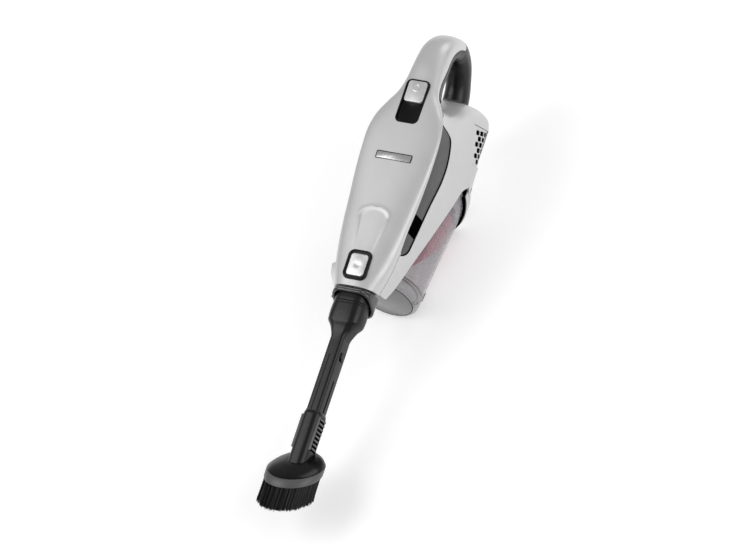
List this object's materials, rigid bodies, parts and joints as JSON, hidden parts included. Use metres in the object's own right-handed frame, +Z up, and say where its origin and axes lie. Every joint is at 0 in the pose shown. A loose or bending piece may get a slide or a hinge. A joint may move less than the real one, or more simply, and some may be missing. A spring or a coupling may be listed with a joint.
{
  "type": "handheld vacuum",
  "caption": "Cordless handheld vacuum with loop handle, clear dust bin with filter cone, sliding power switch, and a crevice tool that carries a slanted round dust brush.",
  "frame": {"origin": "centre of the footprint box, on the floor", "axes": "+X from the handle to the brush, +Y to the left of the tool, +Z up"},
  "size_m": [0.6348, 0.0994, 0.1866],
  "materials": {
    "silver_shell": "satin metallic silver",
    "silver_button": "bright silver",
    "soft_grip": "soft-touch dark grey",
    "smoke_trim": "smoke grey",
    "black_gloss": "gloss black",
    "black_rubber": "matt",
    "charcoal": "satin charcoal",
    "inner_plastic": "matt",
    "badge": "satin",
    "bin_clear": "clear smoke",
    "lid_clear": "smoke",
    "magenta_mesh": "fine mesh",
    "dark_red_seal": "satin",
    "steel": "turned",
    "motor_metal": "turned",
    "cell_wrap": "wrapped",
    "board": "solder resist",
    "white_foam": "foam",
    "bristle": "nylon",
    "band_grey": "satin"
  },
  "bodies": {
    "body": {"top_cover": "silver_shell", "left_side_shell": "silver_shell", "right_side_shell": "silver_shell", "grip_insert": "soft_grip", "left_side_trim": "smoke_trim", "right_side_trim": "smoke_trim", "left_trim_gasket": "black_rubber", "right_trim_gasket": "black_rubber", "left_trim_clip": "black_gloss", "right_trim_clip": "black_gloss", "switch_bezel": "black_gloss", "release_bezel": "black_gloss", "badge_plate": "badge", "nozzle_collar": "charcoal", "collar_hinge_block": "black_gloss", "inlet_duct": "inner_plastic", "inlet_seal": "black_rubber", "spine_plate": "inner_plastic", "rubber_feet": "black_rubber", "base_screws": "steel", "bin_gasket": "black_rubber", "motor_bulkhead": "inner_plastic", "motor_can": "motor_metal", "motor_mount": "inner_plastic", "exhaust_filter": "white_foam", "left_vent_grille": "silver_shell", "right_vent_grille": "silver_shell", "battery_cells": "cell_wrap", "battery_holder": "inner_plastic", "control_board": "board", "switch_body": "inner_plastic", "charge_socket": "black_gloss"},
    "switch": {"power_switch": "silver_button"},
    "release": {"release_button": "silver_button"},
    "fan": {"impeller": "inner_plastic"},
    "bin": {"dust_bin": "bin_clear", "filter_frame": "inner_plastic", "filter_cone": "magenta_mesh", "bin_rear_ring": "black_rubber", "lid_pin": "steel"},
    "flap": {"inlet_flap": "inner_plastic"},
    "lid": {"bin_lid": "lid_clear", "lid_ring": "dark_red_seal"},
    "lid_catch": {"lid_latch": "smoke_trim"},
    "bin_catch": {"bin_latch": "smoke_trim"},
    "tool": {"crevice_tool": "charcoal"},
    "lock": {"brush_lock": "black_gloss"},
    "brush": {"brush_sleeve": "charcoal", "brush_dome": "black_gloss", "brush_band": "band_grey", "bristles": "bristle"}
  },
  "joints": [
    {"name": "power_switch_slide", "type": "slide", "parent": "body", "child": "switch", "axis": [0.9763, 0, -0.2164], "range_m": [0, 0.018]},
    {"name": "release_button_press", "type": "slide", "parent": "body", "child": "release", "axis": [-0.2164, 0, -0.9763], "range_m": [0, 0.0019], "stiffness_N_per_m": 300, "springref_m": -0.003},
    {"name": "tool_pull_off", "type": "slide", "parent": "body", "child": "tool", "axis": [0.9763, 0, -0.2164], "range_m": [0, 0.12]},
    {"name": "brush_slide", "type": "slide", "parent": "tool", "child": "brush", "axis": [-0.9763, 0, 0.2164], "range_m": [0, 0.065]},
    {"name": "brush_lock_press", "type": "slide", "parent": "tool", "child": "lock", "axis": [0, -1, 0], "range_m": [0, 0.0009], "stiffness_N_per_m": 200, "springref_m": -0.001},
    {"name": "bin_release", "type": "slide", "parent": "body", "child": "bin", "axis": [0.5, 0, -0.866], "range_m": [0, 0.05]},
    {"name": "lid_hinge", "type": "hinge", "parent": "bin", "child": "lid", "pos_m": [-0.02653, -0.0433, 0.0407], "axis": [0, 0, -1], "range_deg": [0, 100]},
    {"name": "lid_latch_slide", "type": "slide", "parent": "bin", "child": "lid_catch", "axis": [-1, 0, 0], "range_m": [0, 0.003], "stiffness_N_per_m": 150, "springref_m": -0.002},
    {"name": "bin_latch_press", "type": "slide", "parent": "body", "child": "bin_catch", "axis": [0, -1, 0], "range_m": [0, 0.0015], "stiffness_N_per_m": 300, "springref_m": -0.002},
    {"name": "flap_swing", "type": "hinge", "parent": "bin", "child": "flap", "pos_m": [-0.07453, 0, 0.073], "axis": [0, 1, 0], "range_deg": [0, 22], "stiffness_Nm_per_rad": 0.01, "springref_deg": -11.46},
    {"name": "impeller_spin", "type": "hinge", "parent": "body", "child": "fan", "pos_m": [-0.18253, 0, 0.0707], "axis": [1, 0, 0], "continuous": true}
  ]
}
